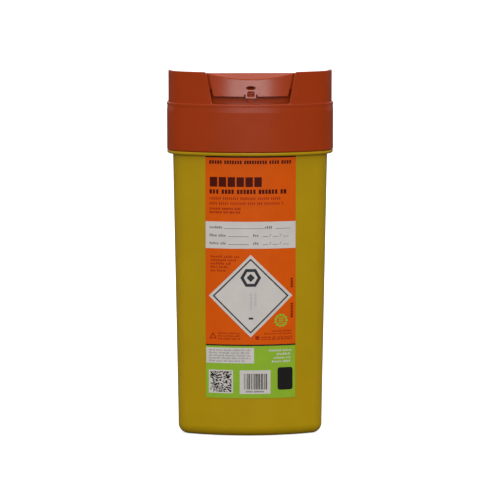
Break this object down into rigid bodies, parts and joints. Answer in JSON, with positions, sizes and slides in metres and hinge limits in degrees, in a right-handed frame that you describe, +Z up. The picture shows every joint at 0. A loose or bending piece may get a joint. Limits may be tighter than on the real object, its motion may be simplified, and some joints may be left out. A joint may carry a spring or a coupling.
{
  "type": "sharps bin",
  "caption": "Small upright sharps bin: tapered yellow container, orange press-fit lid with a guard collar, and a hinged closure flap with a two-stage catch.",
  "frame": {"origin": "centre of the foot, on the surface that the bin stands on", "axes": "+Z up, the front with its label faces -Y, +X to the right seen from the front"},
  "size_m": [0.0836, 0.076, 0.185],
  "materials": {
    "yellow_plastic": "satin moulded polypropylene",
    "orange_plastic": "satin moulded polypropylene",
    "label_film": "printed film"
  },
  "bodies": {
    "root": {"container": "yellow_plastic", "lid": "orange_plastic", "label": "label_film"},
    "flap": {"closure_flap": "orange_plastic"}
  },
  "joints": [
    {"name": "flap_hinge", "type": "hinge", "parent": "root", "child": "flap", "pos_m": [0, 0.026, 0.17302], "axis": [-1, 0, 0], "range_deg": [-2.6, 115]}
  ]
}
